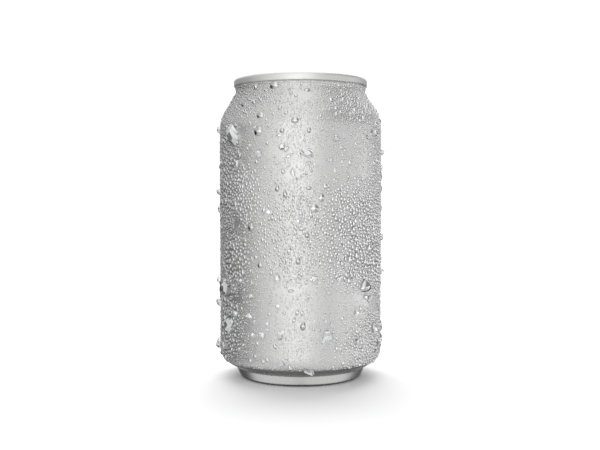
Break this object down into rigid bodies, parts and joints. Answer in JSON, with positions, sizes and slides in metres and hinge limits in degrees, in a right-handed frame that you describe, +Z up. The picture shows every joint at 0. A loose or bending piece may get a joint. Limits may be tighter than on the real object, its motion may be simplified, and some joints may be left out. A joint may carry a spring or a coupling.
{
  "type": "soda can",
  "caption": "Shut aluminium drinks can, upright, with a straight wall, necked shoulder, seamed end, pull tab and domed foot, beaded with cold water drops and ice.",
  "frame": {"origin": "on the can's axis, on the surface that it stands on", "axes": "+Z up along the can's axis, the mouth and the tab's nose towards -Y"},
  "size_m": [0.0662, 0.0662, 0.1222],
  "materials": {
    "can_aluminium": "satin drawn and ironed aluminium, unprinted, wet",
    "end_aluminium": "rolled aluminium sheet with a fine grain",
    "tab_aluminium": "bright formed aluminium",
    "water": "clear cold water drops",
    "ice": "clear ice crystals with broken faces"
  },
  "bodies": {
    "root": {"can_body": "can_aluminium", "lid": "end_aluminium", "pull_tab": "tab_aluminium"}
  },
  "joints": []
}
